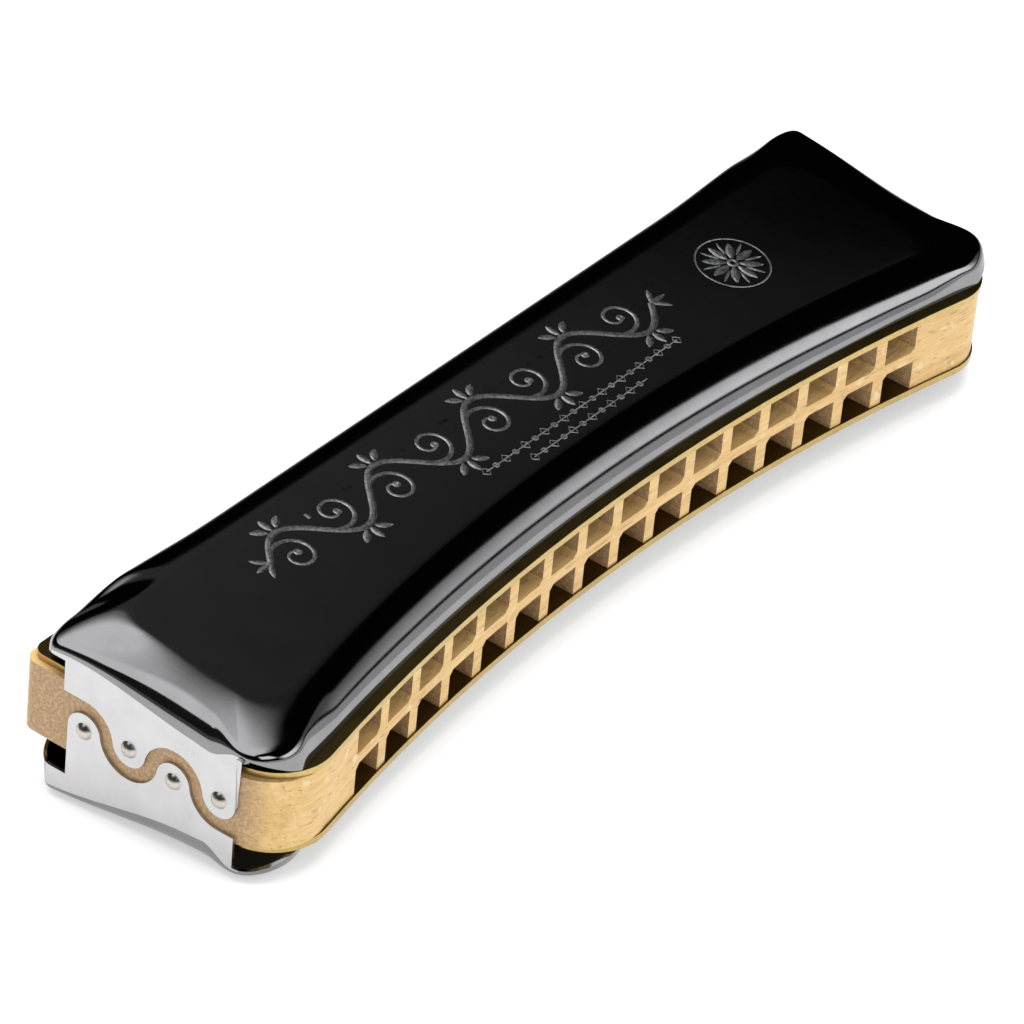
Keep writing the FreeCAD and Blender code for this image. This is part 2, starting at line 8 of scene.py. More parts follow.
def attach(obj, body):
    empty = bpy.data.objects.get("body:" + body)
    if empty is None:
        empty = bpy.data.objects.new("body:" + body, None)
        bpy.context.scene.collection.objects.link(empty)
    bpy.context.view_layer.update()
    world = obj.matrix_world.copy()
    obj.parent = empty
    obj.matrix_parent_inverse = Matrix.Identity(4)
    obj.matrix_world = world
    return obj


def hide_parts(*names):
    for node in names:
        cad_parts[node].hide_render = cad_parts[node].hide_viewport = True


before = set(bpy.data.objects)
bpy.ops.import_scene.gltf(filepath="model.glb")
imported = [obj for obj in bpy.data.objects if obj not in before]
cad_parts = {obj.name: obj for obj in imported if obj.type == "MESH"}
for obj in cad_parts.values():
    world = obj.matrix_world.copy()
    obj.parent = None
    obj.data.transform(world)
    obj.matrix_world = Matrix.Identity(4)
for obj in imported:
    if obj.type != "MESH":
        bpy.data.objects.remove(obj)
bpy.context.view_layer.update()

# Shapes are drawn in the comb's own frame, in millimetres: X along the instrument, the mouth faces -Y,
# Z is zero at the comb's mid-height. REST turns them into the row's frame, in metres.
MM = 0.001
WEDGE = math.radians(5.5)
RISE = 8.78
FACE_MIDDLE = 12.0
REST = (Matrix.Translation((0, -FACE_MIDDLE * MM, RISE * math.cos(WEDGE) * MM))
        @ Matrix.Rotation(WEDGE, 4, "X") @ Matrix.Diagonal((MM, MM, MM, 1)))
TURNED_OVER = Matrix.Rotation(math.pi, 4, "Y")

# ---------------------------------------------------------------- the covers' sheet

PLATE_TOP = 5.16
HALF = 65.1
MOUTH_RADIUS = 290.0
FRONT_RADIUS = MOUTH_RADIUS + 1.1
FRONT_SHOULDER, FRONT_ROUND, FRONT_LEAN = 5.2, 3.8, math.radians(20)
LEAST_WALL = 0.2  # upright sheet left below a shoulder
FOOT = 26.2
LEAN = math.radians(18)
SHEET = 0.4
SLOPE_WIDTH = 6.3
FRONT_CORNER = 4.45
BACK_CORNER = 2.6
TOP_CORNER = 4.0
BACK_SHOULDER, LIP_ROUND = 3.4, 1.2
CROWN, CROWN_POWER = 0.06, 6
TAB_FRONT, TAB_BACK = -0.675, 22.2
TAB_MIDDLE, NAIL_PITCH = 10.4, 5.95
LOBE, NAIL_DROP = 2.15, 0.45
RELIEF_START, RELIEF_CLIMB, RELIEF_CURVE = 59.9, 2.0, 1.25
VENT_HALF, LIP_EDGE, LIP_TOP = 55.5, 9.75, 10.0
VENT_CORNER = 0.6  # width over which the opening's edge climbs
# an end's fold: (Y, height) at the low end, and how far below the top plane at the high end
FOLD_LINE = ((-0.7, 7.7), (4.6, 8.45), (11.2, 9.0), (17.8, 8.9), (22.6, 8.4), (26.0, 7.8))
HIGH_FOLD = 0.75
FOLD_FRONT, FOLD_BACK = -0.7, 24.0
CREASE = 0.72  # where a slope levels out, as a share of its width
BEND, BEND_SWELL = 0.6, 1.9  # the fold's bend at its ends, and how much wider it is between them
BEND_RISE, BEND_FALL = 4, 18
CORNER_STEPS, FRONT_STEPS, TAB_STEPS, ROUND_STEPS = 10, 150, 110, 24
BESIDE_VENT = 9
APART = 0.02  # least distance between neighbouring sections
CIRCLE = 0.58  # how far a curved bend's handles reach, as a share of its size
# X where the sections start to splay towards the corners
SPLAY = 35
# X where the end's folded profile starts to take over, and how far round the corner that goes on
FRONT_FADE, BACK_FADE, CORNER_RUN = 53.0, 54.0, 5.0
WALL_STEPS, BEND_STEPS, SLOPE_STEPS = 4, 8, 12
PROFILE_STEPS = WALL_STEPS + BEND_STEPS + SLOPE_STEPS
SAMPLES = np.linspace(0, 1, 41)
ALL_END = 0.99  # above this the profile is all folded
SHARP = math.radians(38)


def plane_z(y):
    return RISE + math.tan(WEDGE) * y


def crowned_z(x, y):
    """The cover's top, which is very slightly crowned inside its shoulders."""
    front = math.sqrt((FRONT_RADIUS + FRONT_SHOULDER) ** 2 - x * x) - MOUTH_RADIUS
    deep = (y - front) / (TOP_BACK - front)
    wide = x / (HALF - SLOPE_WIDTH)
    inside = max(0.0, 4 * deep * (1 - deep)) * max(0.0, 1 - wide ** CROWN_POWER)
    return plane_z(y) - CROWN * (1 - inside)


# the leaning back wall would meet the top plane at CREST; the shoulder between them starts before it
CREST = (FOOT - (RISE - PLATE_TOP) * math.tan(LEAN)) / (1 + math.tan(WEDGE) * math.tan(LEAN))
TOP_BACK = CREST - BACK_SHOULDER


def smooth(t):
    t = min(1.0, max(0.0, t))
    return t * t * (3 - 2 * t)


def arc(centre, radius, start, end, steps):
    """Points on a round, from one angle to another, both ends included."""
    return [(centre[0] + radius * math.cos(a), centre[1] + radius * math.sin(a))
            for a in np.linspace(start, end, steps + 1)]


def front_corner(half, wall_radius, radius):
    """Centre of the right front corner's round, and the angle where it leaves the mouth-side wall."""
    x = half - radius
    y = math.sqrt((wall_radius + radius) ** 2 - x * x) - MOUTH_RADIUS
    return (x, y), math.atan2(-(y + MOUTH_RADIUS), -x)


def wavy_edge(end):
    """Lower edge of the upper cover's tab at one end: lobes round its nails, bays round the other's."""
    first = 0 if end < 0 else 1
    places = [TAB_MIDDLE + (step - 1.5) * NAIL_PITCH for step in range(4)]
    bay = math.hypot(NAIL_PITCH, 2 * NAIL_DROP) - LOBE
    touch = math.atan2(2 * NAIL_DROP, NAIL_PITCH)
    line = []
    for step, y in enumerate(places):
        own = step % 2 == first
        z, radius = (NAIL_DROP, LOBE) if own else (-NAIL_DROP, bay)
        low, high = (math.pi + touch, 2 * math.pi - touch) if own else (math.pi - touch, touch)
        if step == 0:
            low = math.pi if own else math.pi / 2
        if step == 3:
            high = 2 * math.pi if own else math.pi / 2
        points = arc((y, z), radius, low, high, ROUND_STEPS)
        line += points if not line else points[1:]
    if first == 1:
        line.insert(0, (TAB_FRONT, line[0][1]))
    else:
        line.append((TAB_BACK, line[-1][1]))
    y, z = np.array(line).T
    along = np.concatenate(([0], np.cumsum(np.hypot(np.diff(y), np.diff(z)))))
    even = np.linspace(0, along[-1], TAB_STEPS + 1)
    return list(zip(np.interp(even, along, y), np.interp(even, along, z)))


def fold_curve(x, y):
    """Height of an end's fold. The low end's is bowed; the high end's keeps level with the top."""
    if x > 0:
        return plane_z(y) - HIGH_FOLD
    ys, zs = np.array(FOLD_LINE).T
    return float(np.polyval(np.polyfit(ys, zs, 3), min(FOLD_BACK, max(FOLD_FRONT, y))))


def sheet_loop():
    """The four sides of the upper cover, each a list of places round it.

    A place is (foot point, top point, height of the lower edge, lean of the wall, how far the end's
    folded profile has taken over, size of the shoulder).
    """
    (cx, cy), leave = front_corner(HALF, FRONT_RADIUS, FRONT_CORNER)
    (tx, ty), top_leave = front_corner(HALF - SLOPE_WIDTH, FRONT_RADIUS + FRONT_SHOULDER, TOP_CORNER)
    foot_corner = arc((cx, cy), FRONT_CORNER, leave, 0, 2 * CORNER_STEPS)
    top_corner = arc((tx, ty), TOP_CORNER, top_leave, 0, 2 * CORNER_STEPS)
    back_foot = arc((HALF - BACK_CORNER, FOOT - BACK_CORNER), BACK_CORNER, 0, math.pi / 2, 2 * CORNER_STEPS)
    back_top = arc((HALF - SLOPE_WIDTH - TOP_CORNER, TOP_BACK - TOP_CORNER), TOP_CORNER, 0, math.pi / 2,
                   2 * CORNER_STEPS)

    def spread(x, a, b):
        """X of the top point for a foot point at x, when the corners' are at a and b."""
        return math.copysign(abs(x) - (a - b) * smooth((abs(x) - SPLAY) / (a - SPLAY)), x)

    def fade(x, start, stop, turn=0.0):
        """How far the end's profile has taken over: x along the side, then turn 0-1 round the corner."""
        run = abs(x) - start if turn == 0 else stop - start + CORNER_RUN * turn
        return smooth(run / (stop - start + CORNER_RUN))

    def relief(x):
        climb = max(0.0, abs(x) - RELIEF_START) / (HALF - RELIEF_START)
        return PLATE_TOP + RELIEF_CLIMB * climb ** RELIEF_CURVE

    def front_rows():
        a, b = foot_corner[0][0], top_corner[0][0]
        rows = []
        for t in np.linspace(-1, 1, FRONT_STEPS + 1):
            x = a * t
            u = spread(x, a, b)
            foot = (x, math.sqrt(FRONT_RADIUS ** 2 - x * x) - MOUTH_RADIUS)
            top = (u, math.sqrt((FRONT_RADIUS + FRONT_SHOULDER) ** 2 - u ** 2) - MOUTH_RADIUS)
            rows.append((foot, top, relief(x), FRONT_LEAN, fade(x, FRONT_FADE, a), FRONT_ROUND))
        return rows

    def back_round(end):
        return LIP_ROUND + (FRONT_ROUND - LIP_ROUND) * end

    def corner_rows(side, foot, top, at_front):
        """A corner, from the front wall to the end, or from the end to the back wall."""
        n = len(foot) - 1
        wall_x, start, wall_lean = (foot[0][0], FRONT_FADE, FRONT_LEAN) if at_front else (
            foot[-1][0], BACK_FADE, LEAN)
        rows = []
        for i, ((x, y), (u, v)) in enumerate(zip(foot, top)):
            share = i / n if at_front else 1 - i / n
            end = fade(wall_x, start, wall_x, share)
            size = FRONT_ROUND if at_front else back_round(end)
            rows.append(((side * x, y), (side * u, v), relief(x), wall_lean * smooth(1 - share), end, size))
        return rows

    def end_rows(side):
        y0, y1 = foot_corner[-1][1], back_foot[0][1]
        v0, v1 = top_corner[-1][1], back_top[0][1]
        ys, zs = (list(values) for values in zip(*wavy_edge(side)))
        ys[0], ys[-1] = max(ys[0], y0 + APART), min(ys[-1], y1 - APART)
        ys = [y0] + ys + [ys[-1] + APART, y1]
        zs = [relief(HALF)] + zs + [relief(HALF)] * 2
        rows = []
        for y, z in zip(ys, zs):
            t = (y - y0) / (y1 - y0)
            rows.append(((side * HALF, y), (side * (HALF - SLOPE_WIDTH), v0 + (v1 - v0) * t), z, 0.0, 1.0,
                         FRONT_ROUND))
        return rows

    def back_rows():
        a, b = back_foot[-1][0], back_top[-1][0]
        middle = FRONT_STEPS + 1 - 2 * (BESIDE_VENT + 1)
        beside = list(np.linspace(a, VENT_HALF + VENT_CORNER / 2, BESIDE_VENT)) + [VENT_HALF]
        across = list(np.linspace(VENT_HALF - VENT_CORNER, VENT_CORNER - VENT_HALF, middle))
        rows = []
        for x in beside + across + [-x for x in beside[::-1]]:
            inside = smooth((VENT_HALF + VENT_CORNER / 6 - abs(x)) / VENT_CORNER)
            low = max(relief(x), PLATE_TOP + (LIP_EDGE - PLATE_TOP) * inside)
            end = fade(x, BACK_FADE, a)
            rows.append(((x, FOOT), (spread(x, a, b), TOP_BACK), low, LEAN, end, back_round(end)))
        return rows

    right_front = corner_rows(1, foot_corner, top_corner, True)
    left_front = corner_rows(-1, foot_corner, top_corner, True)
    right_back = corner_rows(1, back_foot, back_top, False)
    left_back = corner_rows(-1, back_foot, back_top, False)
    c = CORNER_STEPS
    return [left_front[:c + 1][::-1] + front_rows()[1:-1] + right_front[:c + 1],
            right_front[c:] + end_rows(1)[1:-1] + right_back[:c + 1],
            right_back[c:] + back_rows()[1:-1] + left_back[c:][::-1],
            left_back[:c + 1][::-1] + end_rows(-1)[1:-1][::-1] + left_front[c:][::-1]]


def bezier(points, t):
    """Points of the Bezier curve with these control points, at the values t."""
    points = [np.array(p, float) for p in points]
    t = np.array(t, float).reshape(-1, 1)
    while len(points) > 1:
        points = [a + (b - a) * t for a, b in zip(points, points[1:])]
    return points[0]


def rounded_profile(reach, z_top, pitch, low, lean, lip, endness, lock):
    """A leaning wall and a round shoulder, as distances inward and heights.

    lock is a height that the wall's last point keeps, or 0.
    """
    slant = math.tan(lean)
    z_crest = (z_top - reach * pitch - PLATE_TOP * pitch * slant) / (1 - pitch * slant)
    crest = np.array(((z_crest - PLATE_TOP) * slant, z_crest))
    last = np.array((reach, z_top))
    size = min(lip, np.linalg.norm(last - crest), (z_crest - PLATE_TOP - LEAST_WALL) / math.cos(lean))
    start = crest - size * np.array((math.sin(lean), math.cos(lean)))
    controls = (start, start + CIRCLE * (crest - start), last + CIRCLE * (crest - last), last)
    curve = bezier(controls, SAMPLES)
    if start[1] > low:
        curve = np.vstack((((low - PLATE_TOP) * slant, low), curve))
    else:
        # the sheet is cut above its wall, so the shoulder starts at the cut
        rising = curve[:int(np.argmax(curve[:, 1])) + 1, 1]
        first = np.interp(low, rising, SAMPLES[:len(rising)])
        curve = bezier(controls, first + (1 - first) * SAMPLES)
    along = np.concatenate(([0], np.cumsum(np.linalg.norm(np.diff(curve, axis=0), axis=1))))
    share = WALL_STEPS / PROFILE_STEPS
    if lock:
        # the sound opening's edges run up the same points as the wall beside it
        rising = int(np.argmax(curve[:, 1])) + 1
        locked = np.interp(lock, curve[:rising, 1], along[:rising]) / along[-1]
        share = locked * (1 - endness) + share * endness
    stops = np.concatenate((np.linspace(0, share, WALL_STEPS + 1),
                            np.linspace(share, 1, PROFILE_STEPS - WALL_STEPS + 1)[1:])) * along[-1]
    return np.column_stack([np.interp(stops, along, column) for column in curve.T])


def folded_profile(reach, z_top, pitch, low, lean, x, y):
    """A wall, a tight bend, a gentle slope and a soft crease, as distances inward and heights."""
    slant = math.tan(lean)
    z_fold = fold_curve(x, y)
    fold = np.array(((z_fold - PLATE_TOP) * slant, z_fold))
    middle = np.array((reach * CREASE, z_top - reach * (1 - CREASE) * pitch))
    last = np.array((reach, z_top))
    bend = BEND + BEND_SWELL * smooth((y - FOLD_FRONT) / BEND_RISE) * smooth((FOLD_BACK - y) / BEND_FALL)
    share = bend / (2 * np.linalg.norm(middle - fold))
    landing = bezier((fold, middle, last), share)[0]
    below = fold - bend * np.array((math.sin(lean), math.cos(lean)))
    heights = np.linspace(low, below[1], WALL_STEPS + 1)
    wall = np.column_stack(((heights - PLATE_TOP) * slant, heights))
    turn = bezier((below, below + CIRCLE * (fold - below), landing + CIRCLE * (fold - landing), landing),
                  np.linspace(0, 1, BEND_STEPS + 1))
    slope = bezier((fold, middle, last), share + (1 - share) * np.linspace(0, 1, SLOPE_STEPS + 1))
    return np.vstack((wall, turn[1:], slope[1:]))


def section(row):
    """Points of the sheet's outside from its lower edge up to the top plane, at one place round it."""
    (bx, by), (tx, ty), low, lean, endness, lip = row
    foot, top = np.array((bx, by)), np.array((tx, ty))
    reach = np.linalg.norm(top - foot)
    inward = (top - foot) / reach
    z_top = plane_z(ty) - CROWN
    pitch = math.tan(WEDGE) * inward[1]
    profile = rounded_profile(reach, z_top, pitch, low, lean, lip, endness, LIP_TOP if by > TAB_BACK else 0)
    if endness > 0:
        profile = profile * (1 - endness) + folded_profile(reach, z_top, pitch, low, lean, bx, by) * endness
    return [(*(foot + inward * d), z) for d, z in profile]


def cover_skin():
    """Vertices and faces of the upper cover's outside, and which faces are on a tab."""
    sides = sheet_loop()
    rows, corners = [], []
    for side in sides:
        corners.append(len(rows))
        rows += side[:-1]
    rings = [section(row) for row in rows]
    depth, count = len(rings[0]), len(rings)
    vertices = [p for ring in rings for p in ring]
    faces, satin = [], []
    for i in range(count):
        j = (i + 1) % count
        for k in range(depth - 1):
            faces.append((i * depth + k, j * depth + k, j * depth + k + 1, i * depth + k + 1))
            satin.append(min(rows[i][4], rows[j][4]) > ALL_END and k < WALL_STEPS)
    # the top plane, woven between the four sides
    across, deep = len(sides[0]) - 1, len(sides[1]) - 1

    def top(i):
        return (i % count) * depth + depth - 1

    front = [top(corners[0] + i) for i in range(across + 1)]
    right = [top(corners[1] + i) for i in range(deep + 1)]
    back = [top(corners[2] + across - i) for i in range(across + 1)]
    left = [top(corners[3] + deep - i) for i in range(deep + 1)]
    grid = {}
    at = [np.array(v) for v in vertices]
    for i in range(across + 1):
        for j in range(deep + 1):
            if j == 0 or j == deep:
                grid[i, j] = (front if j == 0 else back)[i]
            elif i == 0 or i == across:
                grid[i, j] = (left if i == 0 else right)[j]
            else:
                u, v = i / across, j / deep
                p = ((1 - v) * at[front[i]] + v * at[back[i]] + (1 - u) * at[left[j]] + u * at[right[j]]
                     - (1 - u) * (1 - v) * at[front[0]] - u * (1 - v) * at[front[-1]]
                     - (1 - u) * v * at[back[0]] - u * v * at[back[-1]])
                grid[i, j] = len(vertices)
                vertices.append((p[0], p[1], crowned_z(p[0], p[1])))
    for i in range(across):
        for j in range(deep):
            faces.append((grid[i, j], grid[i + 1, j], grid[i + 1, j + 1], grid[i, j + 1]))
            satin.append(False)
    return vertices, faces, satin


def new_object(name, vertices, faces, materials):
    mesh = bpy.data.meshes.new(name)
    mesh.from_pydata(vertices, [], faces)
    mesh.validate()
    for material in materials:
        mesh.materials.append(material)
    obj = bpy.data.objects.new(name, mesh)
    bpy.context.scene.collection.objects.link(obj)
    return obj


def make_cover(name, placement, materials, node):
    """A cover of sheet metal; its thickness is applied, so that the mesh itself holds the shape."""
    vertices, faces, satin = cover_skin()
    obj = new_object(name, vertices, faces, materials)
    obj.data.polygons.foreach_set("material_index", np.array(satin, np.int32))
    bpy.context.view_layer.update()
    thickness = obj.modifiers.new("Thickness", "SOLIDIFY")
    thickness.thickness, thickness.offset, thickness.use_even_offset = SHEET, -1.0, False
    evaluated = obj.evaluated_get(bpy.context.evaluated_depsgraph_get())
    mesh = bpy.data.meshes.new_from_object(evaluated)
    obj.modifiers.clear()
    obj.data = mesh
    mesh.transform(REST @ placement)
    mesh.polygons.foreach_set("use_smooth", np.ones(len(mesh.polygons), bool))
    mesh.set_sharp_from_angle(angle=SHARP)
    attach(obj, "frame")
    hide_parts(node)


# ---------------------------------------------------------------- materials


class Finish:
    """A node material with its Principled shader, and short ways to add and join nodes."""

    def __init__(self, name, **inputs):
        self.material = bpy.data.materials.new(name)
        self.material.use_nodes = True
        self.tree = self.material.node_tree
        self.shader = self.tree.nodes["Principled BSDF"]
        for key, value in inputs.items():
            self.shader.inputs[key.title()].default_value = value
        self.place = self.node("ShaderNodeTexCoord").outputs["Object"]

    def node(self, kind, **settings):
        made = self.tree.nodes.new(kind)
        for key, value in settings.items():
            if key in made.inputs:
                made.inputs[key].default_value = value
            else:
                setattr(made, key, value)
        return made

    def join(self, output, node, key):
        self.tree.links.new(output, node.inputs[key])

    def noise(self, stretch, detail=4.0, rough=0.55, distortion=0.0, turn=(0, 0, 0)):
        """Noise whose scale per metre differs along X, Y and Z."""
        spread = self.node("ShaderNodeMapping")
        spread.inputs["Scale"].default_value = stretch
        spread.inputs["Rotation"].default_value = turn
        self.join(self.place, spread, "Vector")
        texture = self.node("ShaderNodeTexNoise", Scale=1.0, Detail=detail, Roughness=rough,
                            Distortion=distortion)
        self.join(spread.outputs["Vector"], texture, "Vector")
        return texture.outputs["Fac"]

    def ramp(self, factor, stops):
        """Colours or greys along a value."""
        made = self.node("ShaderNodeValToRGB")
        ramp = made.color_ramp
        while len(ramp.elements) < len(stops):
            ramp.elements.new(0.5)
        for element, (position, colour) in zip(ramp.elements, stops):
            element.position = position
            element.color = (*colour, 1) if isinstance(colour, tuple) else (colour, colour, colour, 1)
        self.join(factor, made, "Fac")
        return made.outputs["Color"]

    def mix(self, factor, a, b, blend="MIX"):
        made = self.node("ShaderNodeMix", data_type="RGBA", blend_type=blend)
        for key, value in (("Factor", factor), ("A", a), ("B", b)):
            socket = next(s for s in made.inputs
                          if s.name == key and s.type == ("VALUE" if key == "Factor" else "RGBA"))
            if hasattr(value, "links"):
                self.tree.links.new(value, socket)
            elif isinstance(value, tuple):
                socket.default_value = (*value, 1)
            else:
                socket.default_value = value
        return next(s for s in made.outputs if s.type == "RGBA")

    def colour(self, output):
        self.join(output, self.shader, "Base Color")
        return self

    def roughness(self, factor, low, high):
        spread = self.node("ShaderNodeMapRange")
        spread.inputs["To Min"].default_value = low
        spread.inputs["To Max"].default_value = high
        self.join(factor, spread, "Value")
        self.join(spread.outputs["Result"], self.shader, "Roughness")
        return self

    def bump(self, *heights):
        """Bumps one over another, each a height, its strength and its depth in metres."""
        previous = None
        for height, strength, depth in heights:
            made = self.node("ShaderNodeBump", Strength=strength, Distance=depth)
            self.join(height, made, "Height")
            if previous:
                self.join(previous, made, "Normal")
            previous = made.outputs["Normal"]
        self.join(previous, self.shader, "Normal")
        return self

    def facing(self, axis):
        """How far a face looks along an axis, 0 to 1."""
        split = self.node("ShaderNodeSeparateXYZ")
        self.join(self.node("ShaderNodeNewGeometry").outputs["Normal"], split, "Vector")
        size = self.node("ShaderNodeMath", operation="ABSOLUTE")
        self.join(split.outputs[axis], size, 0)
        return size.outputs[0]


def chrome():
    made = Finish("cover_chrome", metallic=1.0)
    cloud = made.noise((220, 220, 220), detail=3)
    made.colour(made.ramp(cloud, ((0.3, (0.22, 0.22, 0.225)), (0.7, (0.25, 0.25, 0.255)))))
    grain = made.noise((9000, 9000, 9000), detail=2)
    brushed = made.noise((5200, 160, 160), detail=3)
    wear = made.noise((600, 600, 600), detail=5, rough=0.7)
    made.roughness(wear, 0.05, 0.12)
    return made.bump((brushed, 0.10, 0.00002), (grain, 0.08, 0.00001)).material


def satin_chrome():
    made = Finish("tab_satin_chrome", metallic=1.0)
    cloud = made.noise((260, 260, 260), detail=4)
    made.colour(made.ramp(cloud, ((0.3, (0.50, 0.495, 0.50)), (0.7, (0.56, 0.555, 0.56)))))
    brushed = made.noise((900, 900, 7000), detail=4)
    made.roughness(cloud, 0.24, 0.34)
    grain = made.noise((7000, 7000, 7000), detail=2)
    return made.bump((brushed, 0.12, 0.00002), (grain, 0.2, 0.00001)).material


def engraved():
    made = Finish("engraved_lines", metallic=1.0)
    grain = made.noise((2600, 2600, 2600), detail=3)
    made.colour(made.ramp(grain, ((0.35, (0.22, 0.22, 0.225)), (0.65, (0.52, 0.52, 0.53)))))
    made.roughness(grain, 0.3, 0.5)
    return made.bump((made.noise((9000, 9000, 9000), detail=2), 0.5, 0.00003)).material


def wood():
    made = Finish("comb_beech")
    fibre = made.noise((70, 1300, 1300), detail=6, rough=0.62)
    band = made.noise((14, 260, 260), detail=3, distortion=0.6)
    streaks = made.ramp(fibre, ((0.30, (0.44, 0.25, 0.075)), (0.52, (0.62, 0.40, 0.155)),
                                (0.74, (0.73, 0.53, 0.25))))
    tone = made.mix(0.45, streaks, made.ramp(band, ((0.3, (0.54, 0.33, 0.105)), (0.7, (0.71, 0.49, 0.21)))))
    fleck = made.ramp(made.noise((420, 3200, 3200), detail=2, rough=0.5), ((0.60, 1.0), (0.70, 0.62)))
    tone = made.mix(1.0, tone, fleck, "MULTIPLY")
    ray = made.ramp(made.noise((500, 2400, 700), detail=2, turn=(0.5, 0, 0)), ((0.60, 0.0), (0.72, 1.0)))
    tone = made.mix(ray, tone, (0.68, 0.50, 0.27))
    # faces looking along X take the darker pore colour: partly the end grain's deeper stain, partly painted
    # shade on the comb's ends
    end_grain_and_shade = made.ramp(made.facing("X"), ((0.75, 0.0), (0.97, 1.0)))
    pores = made.noise((1500, 2600, 2600), detail=3)
    dots = made.ramp(pores, ((0.42, (0.33, 0.20, 0.095)), (0.62, (0.47, 0.31, 0.16))))
    made.colour(made.mix(end_grain_and_shade, tone, dots))
    made.roughness(fibre, 0.42, 0.6)
    fuzz = made.noise((900, 5000, 5000), detail=2)
    return made.bump((fibre, 0.25, 0.00006), (fuzz, 0.15, 0.00003)).material


def brass(name, light, dark, low, high):
    made = Finish(name, metallic=1.0)
    cloud = made.noise((300, 300, 300), detail=6, rough=0.65)
    fine = made.noise((2400, 2400, 2400), detail=3)
    # faces looking up take the darker brass: partly the dull face of the sheet, partly painted shade and
    # painted dark reflection on a plate's top; faces looking sideways take the lighter brass
    flat = made.ramp(made.facing("Z"), ((0.8, 0.0), (0.97, 1.0)))
    edge = made.ramp(cloud, ((0.3, tuple(0.82 * c for c in light)), (0.65, light)))
    dull_and_shaded = made.ramp(cloud, ((0.3, tuple(0.7 * c for c in dark)), (0.7, dark)))
    made.colour(made.mix(made.ramp(fine, ((0.3, 0.0), (0.8, 0.35))), made.mix(flat, edge, dull_and_shaded),
                         tuple(0.6 * c for c in dark)))
    made.roughness(cloud, low, high)
    drawn = made.noise((120, 3800, 3800), detail=3)
    return made.bump((drawn, 0.15, 0.00003), (fine, 0.1, 0.00002)).material


def nickel():
    made = Finish("nail_nickel", metallic=1.0)
    cloud = made.noise((1500, 1500, 1500), detail=3)
    made.colour(made.ramp(cloud, ((0.3, (0.42, 0.39, 0.35)), (0.7, (0.56, 0.53, 0.48)))))
    made.roughness(cloud, 0.22, 0.36)
    return made.bump((made.noise((5000, 5000, 5000), detail=2), 0.12, 0.00003)).material


def pale_floor():
    made = Finish("floor_paper", roughness=0.75)
    soft = made.noise((3, 3, 3), detail=3)
    made.colour(made.ramp(soft, ((0.3, (0.60, 0.60, 0.60)), (0.7, (0.63, 0.63, 0.625)))))
    made.shader.inputs["Emission Color"].default_value = (1, 1, 1, 1)
    made.shader.inputs["Emission Strength"].default_value = 0.42
    return made.bump((made.noise((700, 700, 700), detail=3), 0.05, 0.0002)).material


CHROME, SATIN = chrome(), satin_chrome()
COMB = wood()
PLATE = brass("plate_brass", (0.60, 0.44, 0.17), (0.17, 0.12, 0.035), 0.26, 0.42)
REED = brass("reed_brass", (0.84, 0.62, 0.26), (0.72, 0.53, 0.22), 0.22, 0.36)
HEAD = brass("rivet_brass", (0.80, 0.60, 0.27), (0.66, 0.50, 0.22), 0.25, 0.4)
NICKEL = nickel()

make_cover("top_cover_sheet", Matrix.Identity(4), (CHROME, SATIN), "top_cover")
make_cover("bottom_cover_sheet", TURNED_OVER, (CHROME, SATIN), "bottom_cover")


def finish_of(node):
    if node == "comb":
        return COMB
    if node.endswith("reed_plate"):
        return PLATE
    if node.endswith("cover_nails"):
        return NICKEL
    if node.endswith(("rivets", "pins")):
        return HEAD
    if "reed" in node:
        return REED
    return CHROME


for node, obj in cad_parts.items():
    if not obj.material_slots:
        obj.data.materials.append(finish_of(node))
    for slot in obj.material_slots:
        slot.material = finish_of(node)

# ---------------------------------------------------------------- engraved ornament on the upper cover


def on_top(x, y, lift):
    """A point on the upper cover's top plane, or a little above it."""
    return (x, y, crowned_z(x, y) + lift)


class Engraving:
    """Lines that stand a little above the sheet, each a strip with a low flat ridge."""

    ridge, thinnest, full_height_width = 0.07, 0.03, 0.15
    crest = 0.35  # half the flat ridge, as a share of half the strip
    foot, root = -0.01, -0.1  # a strip's edges and its underside, from the sheet

    def __init__(self):
        self.vertices, self.faces = [], []

    def stroke(self, points, width):
        points = np.array(points, float)
        n = len(points)
        widths = np.array([width(i / (n - 1)) if callable(width) else width for i in range(n)]) / 2
        along = np.gradient(points, axis=0)
        along /= np.linalg.norm(along, axis=1)[:, None] + 1e-12
        side = np.stack((-along[:, 1], along[:, 0]), axis=1)
        base = len(self.vertices)
        for p, s, w in zip(points, side, widths):
            w = max(w, self.thinnest)
            rise = self.ridge * min(1.0, w / self.full_height_width)
            flat = self.crest * w
            strip = ((-w, self.foot), (-flat, rise), (flat, rise), (w, self.foot), (0, self.root))
            for offset, lift in strip:
                q = p + s * offset
                self.vertices.append(on_top(q[0], q[1], lift))
        for i in range(n - 1):
            a, b = base + 5 * i, base + 5 * (i + 1)
            for k in range(5):
                m = (k + 1) % 5
                self.faces.append((a + k, a + m, b + m, b + k))
        self.faces.append(tuple(base + k for k in range(5))[::-1])
        self.faces.append(tuple(base + 5 * (n - 1) + k for k in range(5)))


def leaf(start, heading, length, bow, steps=14):
    """Points along a leaf: a short curved line that a swelling stroke follows."""
    points, p, a = [], np.array(start, float), heading
    for _ in range(steps + 1):
        points.append(p.copy())
        p = p + length / steps * np.array((math.cos(a), math.sin(a)))
        a += bow / steps
    return points


def ring(cx, cy, radius, sides):
    """A closed round line."""
    return [(cx + radius * math.cos(b), cy + radius * math.sin(b))
            for b in np.linspace(0, 2 * math.pi, sides + 1)]


def swell(widest):
    """The width along a leaf, pointed at both ends."""
    return lambda t: widest * math.sin(math.pi * min(1.0, 0.04 + 0.96 * t)) ** 0.8 + 0.05


